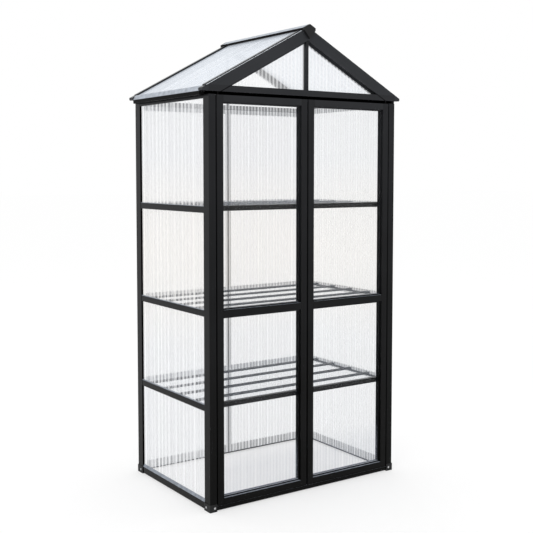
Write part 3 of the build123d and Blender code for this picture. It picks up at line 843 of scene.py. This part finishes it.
levelNames = ("lower", "middle", "upper")
uprights = ["rear_mullion", "gable_mullions"]
wides = ["rear_base_rail", "front_sill", "rear_rails"]
noReflectionBars = ["rear_tie_beam"]
deeps = ["left_base_rail", "right_base_rail", "left_top_rail", "right_top_rail", "ridge_beam"]
deeps += [side + "_rail_" + level for side in ("left", "right") for level in levelNames]
shelves = ["shelf_front_rail_" + level for level in levelNames]
shelves += ["shelf_slats_" + level for level in levelNames] + ["shelf_side_bars"]
for side in ("left", "right"):
    door = side + "_door_"
    uprights += [door + "hinge_stile", door + "meeting_stile"]
    wides += [door + "middle_rail", door + "bottom_rail"]
    noReflectionBars += [door + "top_rail"]
dress(uprights, coatUpright)
dress(["front_left_post", "front_right_post"], coatFrontPost)
dress(["rear_left_post", "rear_right_post"], coatRearPost)
dress(noReflectionBars, coatNoReflection)
dress(["front_tie_beam"], coatTieBeam)
dress(wides, coatWide)
dress(deeps, coatDeep)
dress(["ridge_cap", "left_eave", "right_eave"], coatEdge)
dress(shelves, coatShelf)
dress(["front_left_rafter", "rear_left_rafter"], coatSlopeLeft)
dress(["front_right_rafter", "rear_right_rafter"], coatSlopeRight)
dress(["corner_feet", "ridge_end_plates"], plasticMaterial)
dress(["left_door_pivot_pins", "right_door_pivot_pins"], coatEdge)
dress(["foot_screws"], steelMaterial)
dress(["left_door_panes", "right_door_panes"], doorSheet)
dress(["shelf_sheets"], shelfSheet)
dress(["left_wall_pane"], ribbedAcrossY)
dress(["right_wall_pane"], ribbedRightWall)
dress(["rear_wall_panes"], ribbedAcrossX)
dress(["gable_panes"], ribbedGable)
dress(["left_roof_sheet", "right_roof_sheet"], roofSheet)
print("CAD pieces dressed")


# floor and light

stage = {
    "half": 40.0,      # half the side of the floor
    "below": 0.0005,   # how far it lies under the feet
    "white": 0.52,     # share of plain white in what the camera sees of it
    "floor": (0.99, 0.99, 0.99, 1),
    "glow": (1, 1, 1, 1),
}
cornerSigns = ((-1, -1), (1, -1), (1, 1), (-1, 1))
floorCorners = [(x * stage["half"], y * stage["half"], 0) for x, y in cornerSigns]
floorMesh = bpy.data.meshes.new("studio_floor")
floorMesh.from_pydata(floorCorners, [], [(0, 1, 2, 3)])
floor = bpy.data.objects.new("studio_floor", floorMesh)
floor.location.z = -stage["below"]
scene.collection.objects.link(floor)


def whiteRays(tool):
    # 1 for rays that show the background itself: camera, glossy and transmission rays
    kinds = ("Is Camera Ray", "Is Glossy Ray", "Is Transmission Ray")
    rays = [tool.node("ShaderNodeLightPath", {}, {}, kind) for kind in kinds]
    return sum(rays[1:], rays[0]).clip(0.0, 1.0)


floorMaterial, tool = startMaterial("studio_floor")
lit = tool.node("ShaderNodeBsdfDiffuse", {}, {"Color": stage["floor"]})
glow = tool.node("ShaderNodeEmission", {}, {"Color": stage["glow"], "Strength": 1.0})
mixed = tool.node("ShaderNodeMixShader", {}, {0: whiteRays(tool) * stage["white"], 1: lit, 2: glow})
tool.node("ShaderNodeOutputMaterial", {}, {"Surface": mixed})
floorMesh.materials.append(floorMaterial)

world = bpy.data.worlds.new("studio_world")
scene.world = world
world.use_nodes = True
world.node_tree.nodes.clear()
tool = Wire(world.node_tree)
back = tool.node("ShaderNodeBackground", {}, {"Color": stage["glow"], "Strength": 1.0})
tool.node("ShaderNodeOutputWorld", {}, {"Surface": back})

lamps = {
    "key": {"place": (-2.6, -2.2, 3.6), "aim": (0, 0, 0.8), "size": 2.6, "power": 20.0},
    "top": {"place": (0.8, 0.4, 4.4), "aim": (0, 0, 1.0), "size": 3.0, "power": 15.0},
}


def addLamp(name, settings):
    data = bpy.data.lights.new(name, "AREA")
    data.shape = "SQUARE"
    data.size = settings["size"]
    data.energy = settings["power"]
    lamp = bpy.data.objects.new(name, data)
    scene.collection.objects.link(lamp)
    place = np.array(settings["place"])
    aim = np.array(settings["aim"]) - place
    flatRun = math.hypot(aim[0], aim[1])
    lamp.location = place.tolist()
    lamp.rotation_euler = (math.pi / 2 + math.atan2(aim[2], flatRun), 0.0, math.atan2(-aim[0], aim[1]))
    lamp.visible_camera = False
    lamp.visible_glossy = False


for lampName, lampSettings in lamps.items():
    addLamp(lampName + "_lamp", lampSettings)
print("floor and light made")


# camera, solved from the frame's corners in the photograph

view = {
    "place": (-1.8616, -2.7366, 1.0867),
    "turn": -34.31,     # degrees round the upright axis
    "tilt": -3.701,     # degrees above level
    "focal": 922.974,   # pixels
    "picture": 533,     # width of the photograph in pixels
    "sensor": 36.0,     # millimetres
    "drop": -0.065,     # shift of the lens, in widths of the picture
    "nearest": 0.05,
    "farthest": 100.0,
}
cameraData = bpy.data.cameras.new("photo_camera")
cameraData.sensor_width = view["sensor"]
cameraData.lens = view["focal"] / view["picture"] * view["sensor"]
cameraData.shift_y = view["drop"]
cameraData.clip_start = view["nearest"]
cameraData.clip_end = view["farthest"]
camera = bpy.data.objects.new("photo_camera", cameraData)
camera.location = view["place"]
camera.rotation_euler = (math.radians(90 + view["tilt"]), 0.0, math.radians(view["turn"]))
scene.collection.objects.link(camera)
scene.camera = camera
scene.view_settings.view_transform = "Standard"

print("scene ready")
